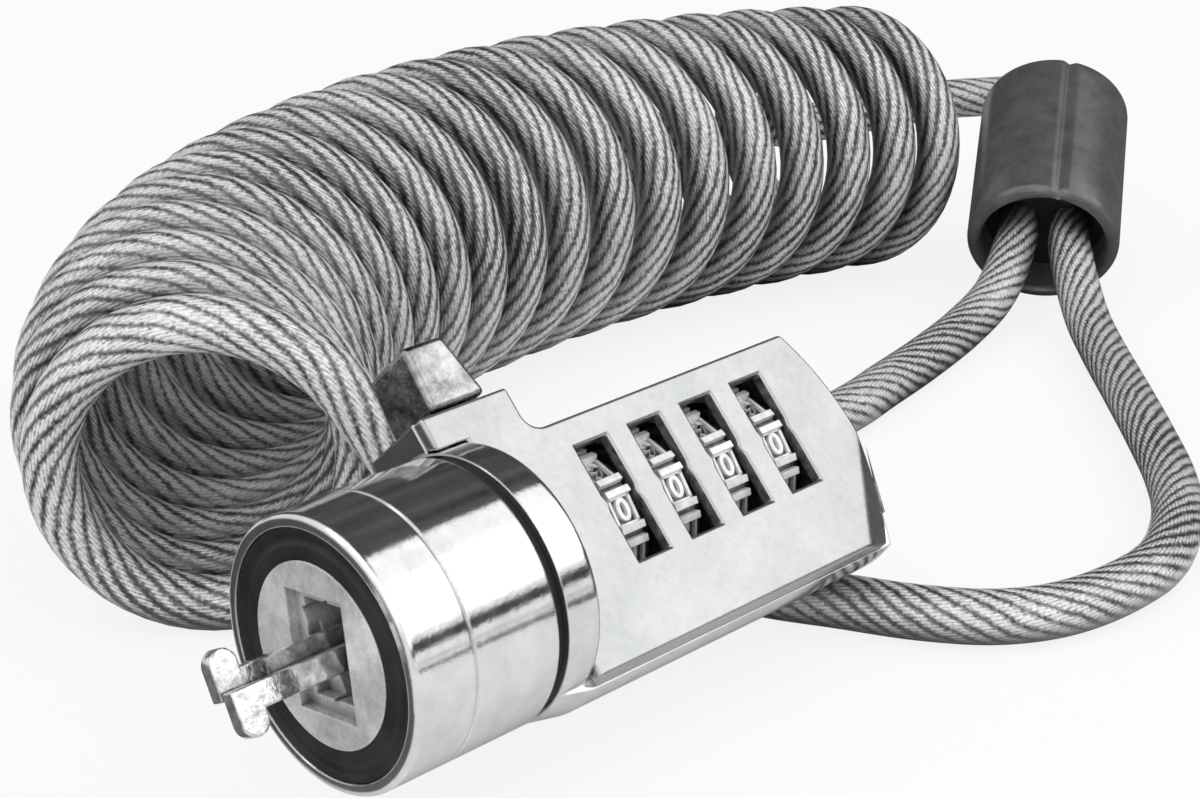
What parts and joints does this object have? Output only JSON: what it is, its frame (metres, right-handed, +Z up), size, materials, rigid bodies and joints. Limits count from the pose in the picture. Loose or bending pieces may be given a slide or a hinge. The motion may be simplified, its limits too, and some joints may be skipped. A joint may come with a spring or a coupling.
{
  "type": "laptop cable lock",
  "caption": "Combination lock for a portable computer: T-hook nose for the security slot, number dials, thumb slide, and a springy coated steel cable with a crimped anchor loop",
  "frame": {"origin": "on the axis of the round nose, in the plane of its front rim, where the lock meets the computer's case", "axes": "+X runs from the nose to the rear of the lock, +Z is up from the table the lock lies on, +Y points to the side where the coil lies"},
  "size_m": [0.1549, 0.0948, 0.0317],
  "materials": {
    "chrome": "polished",
    "satin_plate": "satin",
    "zinc": "cast",
    "hook_steel": "polished",
    "slide_metal": "polished",
    "inner_steel": "plain",
    "dial_metal": "satin",
    "brass": "plain",
    "rubber": "matte",
    "socket_black": "satin",
    "coated_cable": "clear coating over steel rope",
    "ferrule_grey": "satin",
    "ferrule_black": "matte"
  },
  "bodies": {
    "body": {"nose_ring": "chrome", "rubber_bumper": "rubber", "nose_disc": "zinc", "hook_pin": "inner_steel", "hook_carrier": "zinc", "nose_collar": "chrome", "collar_gasket": "rubber", "body_casing": "chrome", "body_cover": "satin_plate", "slide_spring": "inner_steel", "dial_spacers": "zinc", "detent_spring": "inner_steel", "rear_bearing": "zinc", "cover_screws": "inner_steel", "cable_socket": "socket_black", "cable_pivot": "inner_steel", "cable_tail": "coated_cable", "cable_coil": "coated_cable", "cable_lead": "coated_cable", "cable_loop": "coated_cable", "ferrule_sleeve": "ferrule_grey", "ferrule_core": "ferrule_black"},
    "slide": {"thumb_slide": "slide_metal", "slide_carriage": "zinc", "push_rod": "inner_steel", "spindle": "inner_steel"},
    "hook_a": {"hook_upper": "hook_steel"},
    "hook_b": {"hook_lower": "hook_steel"},
    "wheel_1": {"dial_1": "dial_metal", "clutch_1": "brass"},
    "wheel_2": {"dial_2": "dial_metal", "clutch_2": "brass"},
    "wheel_3": {"dial_3": "dial_metal", "clutch_3": "brass"},
    "wheel_4": {"dial_4": "dial_metal", "clutch_4": "brass"},
    "reset": {"reset_screw": "inner_steel"}
  },
  "joints": [
    {"name": "thumb_slide", "type": "slide", "parent": "body", "child": "slide", "axis": [1, 0, 0], "range_m": [0, 0.0026], "deforming": ["slide_spring"]},
    {"name": "hook_upper_fold", "type": "hinge", "parent": "body", "child": "hook_a", "pos_m": [0.008, 0, 0], "axis": [0, -0.8829, 0.4695], "range_deg": [0, 8.2]},
    {"name": "hook_lower_fold", "type": "hinge", "parent": "body", "child": "hook_b", "pos_m": [0.008, 0, 0], "axis": [0, -0.8829, 0.4695], "range_deg": [-8.2, 0]},
    {"name": "dial_1_turn", "type": "hinge", "parent": "body", "child": "wheel_1", "pos_m": [0.02658, 0.00263, -0.00087], "axis": [1, 0, 0], "continuous": true},
    {"name": "dial_2_turn", "type": "hinge", "parent": "body", "child": "wheel_2", "pos_m": [0.03207, 0.00263, -0.00087], "axis": [1, 0, 0], "continuous": true},
    {"name": "dial_3_turn", "type": "hinge", "parent": "body", "child": "wheel_3", "pos_m": [0.03757, 0.00263, -0.00087], "axis": [1, 0, 0], "continuous": true},
    {"name": "dial_4_turn", "type": "hinge", "parent": "body", "child": "wheel_4", "pos_m": [0.04308, 0.00263, -0.00087], "axis": [1, 0, 0], "continuous": true},
    {"name": "reset_turn", "type": "hinge", "parent": "body", "child": "reset", "pos_m": [0.0473, 0.00164, -0.00492], "axis": [1, 0, 0], "range_deg": [0, 90]}
  ],
  "couplings": [
    {"joint": "hook_upper_fold", "follows": "thumb_slide", "rad_per_m": 55},
    {"joint": "hook_lower_fold", "follows": "thumb_slide", "rad_per_m": -55}
  ]
}
